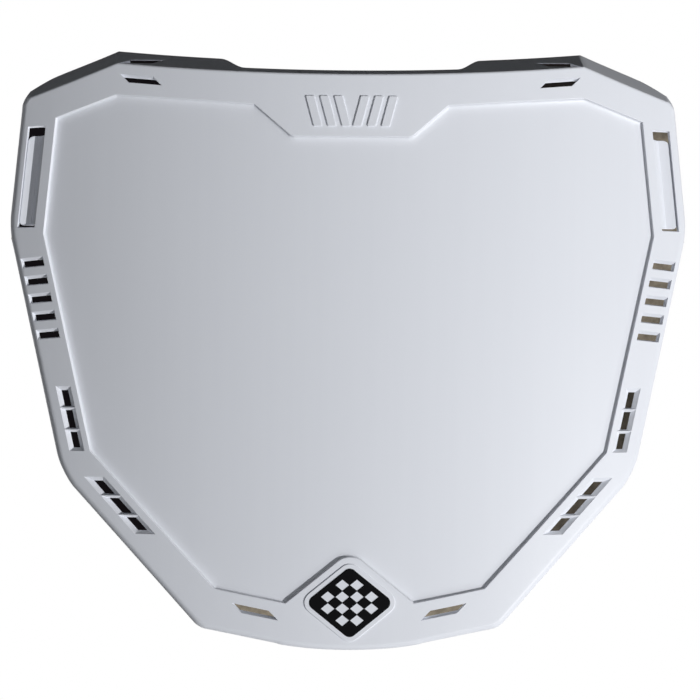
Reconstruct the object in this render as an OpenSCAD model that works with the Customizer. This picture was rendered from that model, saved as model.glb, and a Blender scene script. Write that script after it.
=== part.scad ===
// Racing number board: one moulded dish, bent about an upright axis, with a sunk panel for the
// race number, a turned-back rim, strap hooks at the sides and openings along the border.
// X is to the right seen from the front, Z is up, and the face looks along -Y.
// The origin is in the middle of the sunk panel's surface.

/* [Moulding] */
// Radius that the face is bent to, about an upright axis
bend_r = 320; // [290:5:380]
// Wall thickness of the moulding
wall = 2.4; // [2:0.1:2.8]
// Slope of the top and shoulder walls, in degrees from straight back
top_slope = 24; // [18:1:27]
// Slope of the side and bottom walls, in degrees from straight back
side_slope = 10; // [6:1:13]
// Depth of the rim wall behind the front of the rim
rim_depth = 5.4; // [4.6:0.1:7]
// Depth of the two ears, where the rim wall is deep at the top corners
ear_depth = 15.4; // [12:0.1:18]

/* [Outline of the front] */
// Width between the top corners
top_w = 170.6; // [164:0.2:176]
// Height of the top corners above the origin
top_z = 104; // [101:0.2:107]
// Width between the shoulder corners
shoulder_w = 242; // [238:0.2:246]
// Height of the shoulder corners
shoulder_z = 92; // [90:0.2:95]
// Width between the widest corners
widest_w = 252.4; // [249:0.2:258]
// Height of the widest corners
widest_z = 44.8; // [42:0.2:47]
// Width between the waist corners, where the sides turn in
waist_w = 211; // [208:0.2:215]
// Depth of the waist corners below the origin
waist_drop = 45.5; // [43:0.2:47]
// Width between the bottom corners
bottom_w = 108.4; // [105:0.2:112]
// Depth of the bottom corners below the origin
bottom_drop = 100.1; // [97:0.2:103]
// Depth of the point where the two bottom edges would meet
tip_drop = 110.4; // [108.4:0.2:112]
// Radii of the top, shoulder, widest, waist and bottom corners
corner_r = [1.5, 5, 30, 28, 7];
// Radius that rounds the bottom edge
tip_r = 140; // [110:5:160]

/* [Sunk panel] */
// Depth of the panel below the front of the rim
panel_depth = 1.7; // [1.2:0.1:2]
// Border between outline and panel at the top, shoulder, side, lower side, diagonal and bottom
border = [11.7, 11, 13.6, 12.6, 13.7, 15];
// Radius of the panel's corners
panel_r = 1.2; // [0.6:0.1:2]
// Width of the step in the panel's top edge, at its upper end
notch_top_w = 70; // [66:0.5:74]
// Width of the step in the panel's top edge, at its lower end
notch_low_w = 43.2; // [40:0.2:46]
// Drop of the step below the panel's top edge
notch_drop = 11.6; // [10:0.2:12.6]
// Radius of the step's lower corners
notch_r = 3.4; // [2:0.1:4.4]

/* [Badge field] */
// Height of the diamond field's middle below the origin
badge_drop = 90.6; // [90:0.1:91.4]
// Width of the raised diamond from point to point, before its corners are rounded
badge_w = 37.6; // [35:0.2:38.4]
// Height of the raised diamond from point to point, before its corners are rounded
badge_h = 30.4; // [28:0.2:31]
// Radius of the raised diamond's corners
badge_r = 4.3; // [3:0.1:5]
// Height of the raised diamond above the front of the rim
badge_rise = 0.45; // [0.3:0.05:0.7]
// Distance from the raised diamond's edge to the panel round it
badge_margin = 2.6; // [2.2:0.1:3]
// Bare band between the print and the raised diamond's edge
print_margin = 1.7; // [1.2:0.1:2.2]
// Black band round the checks
check_border = 1.9; // [1.4:0.1:2.4]
// Checks along one side of the print
check_n = 5; // [3:2:7]
// Black line left between two bare checks that meet at a corner
check_gap = 0.2; // [0.1:0.05:0.4]
// Thickness of the printed ink film
print_t = 0.1; // [0.05:0.01:0.15]

/* [Raised bars in the top step] */
// Bars on each side of the middle
bar_n = 3; // [2:1:3]
// Width of a bar
bar_w = 3.2; // [2.6:0.1:3.6]
// Height of a bar
bar_h = 11; // [9:0.5:12]
// Distance from one bar to the next
bar_pitch = 5.1; // [4.6:0.1:5.3]
// Lean of the bars, in degrees
bar_lean = 15; // [8:1:16]
// Height of the bars above the front of the rim
bar_rise = 0.6; // [0.4:0.1:0.9]
// Space between the bars and the panel's edge below them
bar_gap = 3.8; // [3:0.1:4.4]

/* [Strap windows and hooks] */
// Width of a strap window
window_w = 6.9; // [6.6:0.1:7.2]
// Height of a strap window
window_h = 37.4; // [35:0.2:38.4]
// Height of the window's middle above the origin
window_z = 63.4; // [63:0.1:65]
// Strip of face left between the window and the outline
window_strip = 3; // [2.8:0.1:3.2]
// Distance that the hook runs back behind the face
hook_depth = 5.6; // [5:0.1:6]
// Distance that the hook's sloping wall runs outwards
hook_reach = 3.4; // [3.1:0.1:3.8]
// Gap between the hook's free edge and the rim wall
hook_gap = 0.8; // [0.6:0.1:1]
// Gap between the hook and the window's top edge
hook_top_gap = 3.4; // [2.6:0.1:4]
// Gap between the hook and the window's bottom edge
hook_low_gap = 1.1; // [0.8:0.1:1.6]
// Radii of the hook's free corners, at the bottom and at the top
hook_r = [1.6, 2.2];
// Thickness of the hook
hook_t = 1.8; // [1.5:0.1:2]

/* [Border openings] */
// Vents on each side
vent_n = 5; // [3:1:5]
// Length of a vent, with its flared edges
vent_w = 8.8; // [8:0.1:9]
// Height of a vent, with its flared edges
vent_h = 3.7; // [3.2:0.1:4.2]
// Height of the top vent above the origin
vent_z = 31.9; // [31:0.1:34]
// Distance from one vent to the next
vent_pitch = 6.6; // [6.2:0.1:6.8]
// Tilt of the vents, in degrees: their outer ends lie lower
vent_tilt = 5; // [2:1:7]
// Distance from the outline to the middle of a vent
vent_inset = 6; // [5.8:0.1:6.4]
// Windows in each row below the vents
row_n = 3; // [2:1:3]
// Width of the windows in a row, with their flared edges, square to the outline
row_w = 5.6; // [5:0.1:5.8]
// Flat top of the ridges between two windows of a row
ridge_land = 0.2; // [0.15:0.05:0.4]
// Heights of the upper and lower end of the side row
side_row_z = [-13.6, -37.5];
// Heights of the upper and lower end of the diagonal row
low_row_z = [-46.5, -67.1];
// Distances from the outline to the middle of the side row and of the diagonal row
row_inset = [7.5, 8.2];
// Depth of the flared edges
flare_depth = 1.5; // [1.2:0.1:1.7]
// Length of the slots near the top corners, on the face and in the ear
top_slot_w = 12.4; // [11:0.2:13]
// Width of the top slot on the face
top_slot_h = 2.9; // [2.4:0.1:3.4]
// Width of the top slot in the ear's wall
ear_slot_h = 4.4; // [3.6:0.1:5]
// Distance from the origin's plane to the middle of the top slots
top_slot_x = 76.3; // [72:0.1:77]
// Distance from the outline to the middle of the top slot on the face
top_slot_inset = 5.2; // [5:0.1:5.6]
// Length of the bottom slots
low_slot_w = 13.4; // [12:0.2:14]
// Width of the bottom slots
low_slot_h = 2.8; // [2.4:0.1:3.4]
// Distance from the origin's plane to the middle of the bottom slots
low_slot_x = 33.9; // [32:0.1:36]
// Distance from the outline to the middle of the bottom slots
low_slot_inset = 9.6; // [9.2:0.1:10]

/* [Ears] */
// Widths across the ears' inner ends, where the step starts and where it is full
ear_step_w = [76.8, 96];
// Widths across the ears' outer ends, where the wall starts to curve down and where it is low again
ear_end_w = [216.8, 244.8];

/* [Hidden] */
white = [0.93, 0.94, 0.96];
black = [0.04, 0.04, 0.045];
big = 200;       // longer than the board in every direction
arc_step = 5;    // degrees of turn for one facet of a rounded corner
top_draft = tan(top_slope);
side_draft = tan(side_slope);

// Depth of the bent face behind its foremost line, at a distance x from the middle
function bend(x) = bend_r - sqrt(bend_r * bend_r - x * x);
// Angle that the face has turned through there
function face_angle(x) = asin(x / bend_r);

function cross2(a, b) = a[0] * b[1] - a[1] * b[0];
function unit(v) = v / norm(v);
// Point where the lines n1.p = c1 and n2.p = c2 cross
function meet(n1, c1, n2, c2) =
    [c1 * n2[1] - c2 * n1[1], n1[0] * c2 - n2[0] * c1] / cross2(n1, n2);
function mirrored(points) = [for (i = [len(points) - 1 : -1 : 0]) [-points[i][0], points[i][1]]];
function reversed(list) = [for (i = [len(list) - 1 : -1 : 0]) list[i]];

// Points of a closed outline with each corner rounded to its own radius
function rounded(points, radii) = [
    for (i = [0 : len(points) - 1])
        let (n = len(points), p = points[i],
             a = unit(points[(i + n - 1) % n] - p), b = unit(points[(i + 1) % n] - p),
             half = acos(a * b) / 2, r = radii[i],
             centre = p + unit(a + b) * r / sin(half),
             turn = 180 - 2 * half, steps = max(1, ceil(turn / arc_step)),
             from = p + a * r / tan(half) - centre,
             sense = cross2(a, b) > 0 ? -1 : 1)
        for (k = [0 : steps])
            let (t = sense * turn * k / steps)
            centre + [from[0] * cos(t) - from[1] * sin(t), from[0] * sin(t) + from[1] * cos(t)]
];

// Corners of the front outline, clockwise from the right top corner
right_corners = [
    [top_w / 2, top_z], [shoulder_w / 2, shoulder_z], [widest_w / 2, widest_z],
    [waist_w / 2, -waist_drop], [bottom_w / 2, -bottom_drop]
];
corners = concat(right_corners, [[0, -tip_drop]], mirrored(right_corners));
radii = concat(corner_r, [tip_r], reversed(corner_r));
count = len(corners);
// Walls in the same order: shoulder, side, lower side, diagonal, bottom, their mirror images, top
right_drafts = [top_draft, side_draft, side_draft, side_draft, side_draft];
drafts = concat(right_drafts, reversed(right_drafts), [top_draft]);
right_border = [for (i = [1 : 5]) border[i]];
borders = concat(right_border, reversed(right_border), [border[0]]);

function corner(i) = corners[(i + count) % count];
// Outward direction of a wall's line as the front shows it
function side_normal(i) = let (d = unit(corner(i + 1) - corner(i))) [-d[1], d[0]];
// Direction of a sloping wall: its line turns a little, because its two ends lie at different depths
function wall_normal(i) =
    let (run = corner(i + 1) - corner(i),
         turn = drafts[i] * (bend(corner(i + 1)[0]) - bend(corner(i)[0])) / norm(run))
    side_normal(i) * sqrt(1 - turn * turn) + unit(run) * turn;
function wall_level(i, y, inset) =
    wall_normal(i) * corner(i) + drafts[i] * (y - bend(corner(i)[0]))
    - inset * sqrt(1 + drafts[i] * drafts[i]);
// Outline of the sloping walls at depth y, moved in by inset
function wall_ring(y, inset) = rounded(
    [for (i = [0 : count - 1])
        let (j = (i + count - 1) % count)
        meet(wall_normal(j), wall_level(j, y, inset), wall_normal(i), wall_level(i, y, inset))],
    [for (r = radii) max(0.4, r - inset)]);

// Place of a wall's line, moved in by inset, and its crossing with a level or with the next line
function side_level(i, inset) = side_normal(i) * corner(i) - inset;
function side_x(i, z, inset) = (side_level(i, inset) - side_normal(i)[1] * z) / side_normal(i)[0];
function side_z(i, x, inset) = (side_level(i, inset) - side_normal(i)[0] * x) / side_normal(i)[1];
function side_meet(i, j, grow) =
    meet(side_normal(i), side_level(i, borders[i] - grow), side_normal(j), side_level(j, borders[j] - grow));
function side_lean(i) = atan2(side_normal(i)[1], side_normal(i)[0]);
// Height of the top edge at the front of the rim: a flat sloping wall cuts the bent face in a curve
function top_edge(x) = top_z + top_draft * (bend(x) - bend(top_w / 2));

// The panel's outline, grown by a distance, with its step at the top and the badge's corner below
badge_angle = atan2(badge_h, badge_w);
boss_top = -badge_drop + badge_h / 2 + badge_margin / cos(badge_angle);
notch_line = let (d = unit([notch_top_w - notch_low_w, 2 * notch_drop])) [-d[1], d[0]];
notch_z = top_edge(notch_top_w / 2) - border[0] - notch_drop;
panel_top_line = unit([top_edge(notch_top_w / 2) - top_z, (top_w - notch_top_w) / 2]);
boss_line = [sin(badge_angle), cos(badge_angle)];
panel_corner = [top_w / 2, top_z - border[0]];
function panel_top(n, c, grow) = meet(panel_top_line, panel_top_line * panel_corner + grow, n, c);
function panel_half(grow) =
    let (notch_c = notch_line * [notch_low_w / 2, notch_z] + grow,
         boss_c = boss_line * [0, boss_top] - grow)
    [meet([0, 1], notch_z + grow, notch_line, notch_c),
     panel_top(notch_line, notch_c, grow),
     panel_top(side_normal(0), side_level(0, borders[0] - grow), grow),
     side_meet(0, 1, grow), side_meet(1, 2, grow), side_meet(2, 3, grow), side_meet(3, 4, grow),
     meet(side_normal(4), side_level(4, borders[4] - grow), boss_line, boss_c)];
function panel_outline(grow) =
    let (half = panel_half(grow),
         half_r = [notch_r, panel_r + grow, panel_r + grow, panel_r + grow, panel_r + grow,
                   panel_r + grow, panel_r + grow, panel_r])
    rounded(concat(half, [[0, boss_top - grow / cos(badge_angle)]], mirrored(half)),
            concat(half_r, [badge_r + badge_margin - grow], reversed(half_r)));

function diamond(inset) =
    let (w = badge_w / 2 - inset / sin(badge_angle), h = badge_h / 2 - inset / cos(badge_angle))
    [[0, h - badge_drop], [w, -badge_drop], [0, -h - badge_drop], [-w, -badge_drop]];

// A smooth step from 0 to 1
function ease(t) = (1 - cos(180 * t)) / 2;

// The front of the rim lies in front of the origin by the panel's depth
module in_place() translate([0, -panel_depth, 0]) children();

// All that lies behind the front of the rim by more than a distance
module behind(distance)
    translate([0, bend_r + distance, -big]) cylinder(r = bend_r, h = 2 * big, $fn = 240);

// A straight prism with the given outline in the front view, from depth y0 to y1
module front_prism(points, y0, y1)
    translate([0, y1, 0]) rotate([90, 0, 0]) linear_extrude(y1 - y0) polygon(points);

module slice(points, y) front_prism(points, y, y + 0.01);

// The space inside the sloping walls, moved in by inset
module walled(inset, y0, y1) hull() {
    slice(wall_ring(y0, inset), y0);
    slice(wall_ring(y1, inset), y1);
}

module both_sides() {
    children();
    mirror([1, 0, 0]) children();
}

// An opening in the rim, seen from the front: x and z of its middle, its length along the tilt, its
// height square to that, the lean of its ends, and how far its inner end, outer end, lower and
// upper edge flare at the front. The flared edges are part of its size.
module opening(x, z, w, h, tilt, lean, flare) {
    along = [cos(tilt), sin(tilt)];
    up = [-sin(lean), cos(lean)];
    square_up = 1 / cross2(along, up);
    mid = [x, z] + along * (flare[0] - flare[1]) / 2 + up * (flare[2] - flare[3]) / 2 * square_up;
    a = along * (w - flare[0] - flare[1]) / 2;
    b = up * (h - flare[2] - flare[3]) / 2 * square_up;
    turn = face_angle(mid[0]);
    front = flare_depth;
    grow = (flare_depth + front) / flare_depth;
    // The same two directions along the bent face
    fa = [a[0] / cos(turn), a[1]];
    fb = [b[0] / cos(turn), b[1]];
    half_h = cross2(unit(fa), fb);
    half_w = cross2(fa, unit(fb));
    front_prism([mid - a - b, mid + a - b, mid + a + b, mid - a + b],
                bend(mid[0]) - wall - front, bend(mid[0]) + 3 * wall);
    translate([mid[0], bend(mid[0]), mid[1]]) rotate([0, 0, turn]) intersection() {
        rotate([0, -atan2(fa[1], fa[0]), 0]) translate([-w, 0, 0]) rotate([0, 90, 0])
            linear_extrude(2 * w) polygon([
                [-half_h, flare_depth], [half_h, flare_depth],
                [half_h + flare[2] * grow, -front], [-half_h - flare[3] * grow, -front]]);
        rotate([0, atan2(fb[0], fb[1]), 0]) translate([0, 0, -2 * h])
            linear_extrude(4 * h) polygon([
                [-half_w, flare_depth], [half_w, flare_depth],
                [half_w + flare[1] * grow, -front], [-half_w - flare[0] * grow, -front]]);
    }
}

module vents()
    for (i = [0 : vent_n - 1]) {
        z = vent_z - i * vent_pitch;
        opening(side_x(2, z, vent_inset), z, vent_w, vent_h, -vent_tilt, side_lean(2),
                [0.35, 0.8, 0.35, 1.1]);
    }

// A row of windows along a wall's line: low ridges stand between them
module window_row(line, ends, inset) {
    pitch = (ends[0] - ends[1]) / row_n;
    lean = side_lean(line);
    for (i = [0 : row_n - 1]) {
        z = ends[0] - (i + 0.5) * pitch;
        opening(side_x(line, z, inset), z, row_w / cos(lean), pitch - ridge_land, 0, lean,
                [1.4 / cos(lean), 1.6 / cos(lean), i == row_n - 1 ? 1.2 : 0.4, i == 0 ? 1.5 : 0.85]);
    }
}

module top_slot() {
    slope = atan2(top_edge(top_slot_x + 5) - top_edge(top_slot_x - 5), 10);
    opening(top_slot_x, top_edge(top_slot_x) - top_slot_inset, top_slot_w, top_slot_h, slope, -45,
            [0.2, 0.2, 0.2, 0.9]);
}

module low_slot()
    opening(low_slot_x, side_z(4, low_slot_x, low_slot_inset), low_slot_w, low_slot_h,
            side_lean(4) + 90, -45, [0.2, 0.2, 0.7, 0.2]);

// The slot in the ear's top wall, close behind the slot on the face
module ear_slot() {
    y = bend(top_slot_x) + wall + ear_slot_h / 2;
    translate([top_slot_x, y, top_edge(top_slot_x) - wall]) linear_extrude(big) polygon([
        for (p = [[-1, -1], [1, -1], [1, 1], [-1, 1]])
            [(top_slot_w * p[0] - ear_slot_h * p[1]) / 2, ear_slot_h * p[1] / 2]]);
}

module strap_window() {
    lean = side_lean(1);
    opening(side_x(1, window_z, window_strip) - window_w / 2, window_z, window_w, window_h, 0, lean,
            [0.3, 0.3, 0.3, 0.3]);
}

// The hook behind a strap window: a sloping wall from the window's inner edge, then a floor
module hook() {
    lean = side_lean(1);
    z0 = window_z - window_h / 2 + hook_low_gap;
    z1 = window_z + window_h / 2 - hook_top_gap;
    inner = side_x(1, window_z, window_strip) - window_w;
    slope = hook_depth / hook_reach;
    lead = 2.4;
    // The face lies deeper where the window is farther out
    follow = atan(tan(lean) * tan(face_angle(inner)));
    intersection() {
        translate([inner, bend(inner), window_z]) rotate([follow, -lean, 0])
            translate([0, 0, -window_h]) linear_extrude(2 * window_h) polygon([
                [-lead, -lead * slope], [hook_reach, hook_depth],
                [window_w + 2, hook_depth], [window_w + 2, hook_depth + hook_t],
                [hook_reach - hook_t / 2, hook_depth + hook_t],
                [-lead - hook_t * 1.2, -lead * slope]]);
        behind(0.3);
        // The free edge runs along the rim wall, and its two corners are round
        front_prism(rounded(
            [[inner - 20, z0], [side_x(1, z0, window_strip + hook_gap), z0],
             [side_x(1, z1, window_strip + hook_gap), z1], [inner - 20, z1]],
            [0.3, hook_r[0], hook_r[1], 0.3]), 0, big / 2);
    }
}

// The right one of the two parts of the rim wall that run deep, as a space that holds it
module ear_space() difference() {
    steps = 10;
    from = ear_step_w / 2;
    to = ear_end_w / 2;
    translate([0, 0, shoulder_z - 6]) linear_extrude(big) polygon(concat(
        [[from[0], 0]],
        [for (i = [0 : steps])
            let (x = from[0] + (from[1] - from[0]) * i / steps)
            [x, bend(x) + rim_depth + (ear_depth - rim_depth) * ease(i / steps)]],
        [[from[1], big / 2], [to[0], big / 2]],
        [for (i = [0 : steps])
            let (x = to[0] + (to[1] - to[0]) * i / steps)
            [x, bend(x) + rim_depth + (ear_depth - rim_depth) * cos(90 * i / steps)]],
        [[to[1], 0]]));
    behind(ear_depth);
}

module raised_bars()
    for (i = [0 : bar_n - 1]) {
        x = 0.3 + (bar_w + bar_h * tan(bar_lean)) / 2 + i * bar_pitch;
        z = notch_z + bar_gap + bar_h / 2;
        shift = bar_h / 2 * tan(bar_lean);
        front_prism(rounded(
            [[x - bar_w / 2 - shift, z - bar_h / 2], [x + bar_w / 2 - shift, z - bar_h / 2],
             [x + bar_w / 2 + shift, z + bar_h / 2], [x - bar_w / 2 + shift, z + bar_h / 2]],
            [0.5, 0.5, 0.5, 0.5]), -bar_rise - 1, wall);
    }

// The moulded dish: rim, turned-back wall, and a panel plate of the same thickness set back
module dish() {
    y_front = -2;
    y_back = bend(widest_w / 2) + ear_depth + 4;
    difference() {
        intersection() {
            walled(0, y_front, y_back);
            behind(0);
        }
        difference() {
            walled(wall, y_front - 1, y_back + 1);
            difference() {
                translate([-big, -big / 2, -big]) cube([2 * big, big, 2 * big]);
                behind(wall);
            }
            intersection() {
                front_prism(panel_outline(wall), y_front, y_back);
                difference() {
                    behind(0);
                    behind(panel_depth + wall);
                }
            }
        }
        difference() {
            behind(rim_depth);
            both_sides() ear_space();
        }
        difference() {
            front_prism(panel_outline(0), y_front, y_back);
            behind(panel_depth);
        }
    }
}

module board() color(white) in_place() {
    difference() {
        union() {
            dish();
            difference() {
                union() {
                    front_prism(rounded(diamond(0), [badge_r, badge_r, badge_r, badge_r]), -2, wall);
                }
                behind(wall / 2);
                difference() {
                    translate([-big / 2, -big, -big]) cube([big, 2 * big, 2 * big]);
                    behind(-badge_rise);
                }
            }
            difference() {
                both_sides() raised_bars();
                behind(wall / 2);
                difference() {
                    translate([-big / 2, -big, -big]) cube([big, 2 * big, 2 * big]);
                    behind(-bar_rise);
                }
            }
        }
        both_sides() {
            strap_window();
            vents();
            window_row(2, side_row_z, row_inset[0]);
            window_row(3, low_row_z, row_inset[1]);
            top_slot();
            low_slot();
            ear_slot();
        }
    }
    both_sides() hook();
}

// A generic chequered print on the raised diamond: one thin film of ink, with bare checks in it
module badge_print() color(black) in_place() difference() {
    outline = diamond(print_margin);
    print_r = badge_r - print_margin;
    field = diamond(print_margin + check_border);
    step_a = (field[1] - field[0]) / check_n;
    step_b = (field[3] - field[0]) / check_n;
    keep = check_gap / 2 / norm(step_a) / sin(2 * badge_angle);
    intersection() {
        difference() {
            behind(-badge_rise - print_t);
            behind(-badge_rise);
        }
        front_prism(rounded(outline, [print_r, print_r, print_r, print_r]), -3, 3);
    }
    for (i = [0 : check_n - 1], j = [0 : check_n - 1])
        if ((i + j) % 2 == 1)
            front_prism([for (c = [[keep, keep], [1 - keep, keep], [1 - keep, 1 - keep], [keep, 1 - keep]])
                field[0] + step_a * (i + c[0]) + step_b * (j + c[1])], -4, 4);
}

board();
badge_print();
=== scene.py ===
import bmesh
import bpy
import math
from mathutils import Matrix, Vector


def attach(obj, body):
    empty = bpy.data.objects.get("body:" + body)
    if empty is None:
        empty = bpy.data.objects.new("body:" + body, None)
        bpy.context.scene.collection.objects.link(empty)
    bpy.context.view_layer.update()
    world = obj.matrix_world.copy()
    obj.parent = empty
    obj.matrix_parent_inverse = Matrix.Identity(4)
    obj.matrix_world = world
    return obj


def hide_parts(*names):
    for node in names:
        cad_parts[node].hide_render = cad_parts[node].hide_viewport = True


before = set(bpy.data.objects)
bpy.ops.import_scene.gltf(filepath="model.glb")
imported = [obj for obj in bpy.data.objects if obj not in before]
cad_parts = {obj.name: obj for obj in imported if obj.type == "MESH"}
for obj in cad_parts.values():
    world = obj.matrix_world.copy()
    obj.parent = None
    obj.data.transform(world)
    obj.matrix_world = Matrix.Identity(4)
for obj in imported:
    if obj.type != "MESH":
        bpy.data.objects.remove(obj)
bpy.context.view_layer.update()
print("frame loaded:", sorted(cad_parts))

# Everything is modelled flat, in millimetres, with x across, z up and y as the depth behind the
# front of the rim. bendAndPlace then bends it about the upright axis and makes it metres.
bendRadius = 320.0
panelDepth = 1.7
wallThick = 2.4
toMetres = 0.001
smoothAngle = 35
facetPitch = 2.5  # width of the flat strips that make the bend

outline = {
    "corners": [(85.3, 104.0), (121.0, 92.0), (126.2, 44.8), (105.5, -45.5), (54.2, -100.1)],
    "tip": (0.0, -110.4),
    "radii": [0.0, 5.0, 30.0, 28.0, 7.0],
    "segments": [1, 8, 8, 10, 8],
    "tipRadius": 140.0,
    "tipSegments": 18,
    "ringPitch": 5.0,
    # the draft and the front edge's radius on the side walls, and on the top and shoulder walls
    "sideDraft": math.tan(math.radians(10)),
    "topDraft": math.tan(math.radians(24)),
    "sideEdgeRadius": 2.4,
    "topEdgeRadius": 1.1,
    "sideAngle": 6.0,
    "topAngle": 71.0,
    "frontEdgeRows": 7,
    # how deep the wall is, and where along the top its deep parts begin and end
    "rimDepth": 5.4,
    "earDepth": 15.4,
    "earStep": (38.4, 48.0),
    "earEnd": (108.4, 122.4),
    "earLow": 86.0,
    "earCuts": {"from": 84.0, "pitch": 0.6, "count": 11},
    # each row of the rear edge: how far in front of it, and how far inwards
    "rearEdge": [(0.6, 0.0), (0.18, 0.17), (0.0, 0.55), (0.0, wallThick - 0.5), (0.18, wallThick - 0.15),
                 (0.6, wallThick)],
    # each row of the corner inside: how deep, and how far inwards
    "innerCorner": [(wallThick + 1.2, wallThick), (wallThick + 0.35, wallThick + 0.3),
                    (wallThick, wallThick + 1.2)],
}


def bendDepth(x):
    return bendRadius - math.sqrt(bendRadius * bendRadius - x * x)


def smoothStep(t):
    t = min(1.0, max(0.0, t))
    return (1 - math.cos(math.pi * t)) / 2


def between(low, high, share):
    return low + (high - low) * share


# Small modelling helpers


def leaveEditMode():
    if bpy.context.object and bpy.context.object.mode != "OBJECT":
        bpy.ops.object.mode_set(mode="OBJECT")
    bpy.ops.object.select_all(action="DESELECT")


def activate(obj):
    leaveEditMode()
    obj.select_set(True)
    bpy.context.view_layer.objects.active = obj


def editMesh(obj, mode="VERT"):
    activate(obj)
    bpy.ops.object.mode_set(mode="EDIT")
    bpy.ops.mesh.select_mode(type=mode)
    bpy.ops.mesh.select_all(action="DESELECT")
    return bmesh.from_edit_mesh(obj.data)


def flatShape(name, points, depth=0.0):
    # a filled ring of vertices moved to the outline's corners, facing the front
    leaveEditMode()
    bpy.ops.mesh.primitive_circle_add(vertices=len(points), radius=50, fill_type="NGON")
    obj = bpy.context.object
    obj.name = name
    for v, p in zip(obj.data.vertices, points):
        v.co = (p[0], depth, p[1])
    obj.data.update()
    if obj.data.polygons[0].normal.y > 0:
        editMesh(obj)
        bpy.ops.mesh.select_all(action="SELECT")
        bpy.ops.mesh.flip_normals()
        leaveEditMode()
    return obj


def cornerTurn(points, point):
    # the angle by which the outline turns at one of its corners
    i = points.index(point)
    a = (Vector(point) - Vector(points[i - 1])).normalized()
    b = (Vector(points[(i + 1) % len(points)]) - Vector(point)).normalized()
    return math.acos(max(-1.0, min(1.0, a.dot(b))))


def roundCorner(obj, points, point, radius, segments):
    # bevels the vertex that stands at one corner of the outline
    bm = editMesh(obj)
    near = min(bm.verts, key=lambda v: (v.co.x - point[0]) ** 2 + (v.co.z - point[1]) ** 2)
    near.select_set(True)
    bm.select_flush(True)
    bmesh.update_edit_mesh(obj.data)
    bpy.ops.mesh.bevel(offset=radius * math.tan(cornerTurn(points, point) / 2), offset_type="OFFSET",
                       segments=segments, profile=0.5, affect="VERTICES", clamp_overlap=False)
    leaveEditMode()


def cutAt(obj, places, normal):
    editMesh(obj)
    for place in places:
        bpy.ops.mesh.select_all(action="SELECT")
        co = tuple(place * n for n in normal)
        bpy.ops.mesh.bisect(plane_co=co, plane_no=normal, use_fill=False, threshold=0.0005)
    leaveEditMode()


def evenPlaces(pitch, count):
    # places for cuts, on both sides of the middle
    return [pitch * i for i in range(-count, count + 1)]


def insetRows(obj, rows):
    # each row goes further inwards and deeper than the last one
    editMesh(obj, "FACE")
    bpy.ops.mesh.select_all(action="SELECT")
    last = (0.0, 0.0)
    for row in rows:
        bpy.ops.mesh.inset(thickness=row[0] - last[0], depth=last[1] - row[1],
                           use_boundary=True, use_even_offset=True)
        last = row
    leaveEditMode()


def joinInto(target, others):
    activate(target)
    for obj in others:
        obj.select_set(True)
    bpy.ops.object.join()
    return target


def carve(obj, cutter):
    activate(obj)
    mod = obj.modifiers.new("carve", "BOOLEAN")
    mod.operation = "DIFFERENCE"
    mod.solver = "EXACT"
    mod.object = cutter
    bpy.ops.object.modifier_apply(modifier=mod.name)
    bpy.data.objects.remove(cutter)


def bendAndPlace(obj):
    # the sheet follows the bent face at a constant depth, as the moulded wall does
    for v in obj.data.vertices:
        v.co.y += bendDepth(v.co.x) - panelDepth
    obj.data.transform(Matrix.Scale(toMetres, 4))
    obj.data.update()


def smoothShading(obj, angle):
    activate(obj)
    bpy.ops.object.shade_smooth_by_angle(angle=math.radians(angle))
    mod = obj.modifiers.new("even shading", "WEIGHTED_NORMAL")
    mod.keep_sharp = True
    mod.weight = 60
    bpy.ops.object.modifier_apply(modifier=mod.name)
    leaveEditMode()


# The outline and its lines

rightCorners = outline["corners"]
rightChain = rightCorners + [outline["tip"]]
allCorners = rightChain + [(-x, z) for x, z in reversed(rightCorners)]
allCorners = allCorners[::-1]  # counter-clockwise seen from the front
cornerX, topZ = rightCorners[0]


def lineOf(a, b):
    # outward normal and level of the line from a to b, both on the right side, clockwise
    d = (Vector(b) - Vector(a)).normalized()
    n = Vector((-d.y, d.x))
    return n, n.dot(Vector(a))


rightLines = [lineOf(a, b) for a, b in zip(rightChain, rightChain[1:])]


def crossing(n1, c1, n2, c2):
    det = n1.x * n2.y - n1.y * n2.x
    return ((c1 * n2.y - c2 * n1.y) / det, (n1.x * c2 - n2.x * c1) / det)


def lineX(i, z, inset):
    n, c = rightLines[i]
    return (c - inset - n.y * z) / n.x


def lineZ(i, x, inset):
    n, c = rightLines[i]
    return (c - inset - n.x * x) / n.y


def lineLean(i):
    n = rightLines[i][0]
    return math.atan2(n.y, n.x)


def topEdge(x):
    return topZ + outline["topDraft"] * (bendDepth(x) - bendDepth(cornerX))


panel = {
    "borders": [11.7, 11.0, 13.6, 12.6, 13.7, 15.0],
    "stepTopWidth": 70.0,
    "stepLowWidth": 43.2,
    "stepDrop": 11.6,
    "stepRadius": 3.4,
    "stepSegments": 6,
    "badgeDrop": 90.6,
    "badgeSize": (37.6, 30.4),
    "badgeRadius": 4.3,
    "badgeMargin": 2.6,
    "badgeSegments": 12,
    # how far outside the panel's outline its wall starts, at the front and at the rear
    "frontGrow": 0.45,
    "backGrow": 2.3,
    # how far in and how deep each row of the wall round the panel lies
    "frontRows": [(0.14, 0.03), (0.25, 0.14), (0.35, 0.42), (0.47, 0.86), (0.6, 1.17), (0.88, 1.38),
                  (1.55, 1.55), (2.6, 1.65), (3.8, 1.7)],
    "backRows": [(0.5, 0.1), (1.0, 0.6), (1.3, 1.2), (1.8, 1.6), (2.6, 1.7)],
}
badgeWidth, badgeHeight = panel["badgeSize"]
badgeAngle = math.atan2(badgeHeight, badgeWidth)
bossTop = -panel["badgeDrop"] + badgeHeight / 2 + panel["badgeMargin"] / math.cos(badgeAngle)
stepZ = topEdge(panel["stepTopWidth"] / 2) - panel["borders"][0] - panel["stepDrop"]


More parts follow.
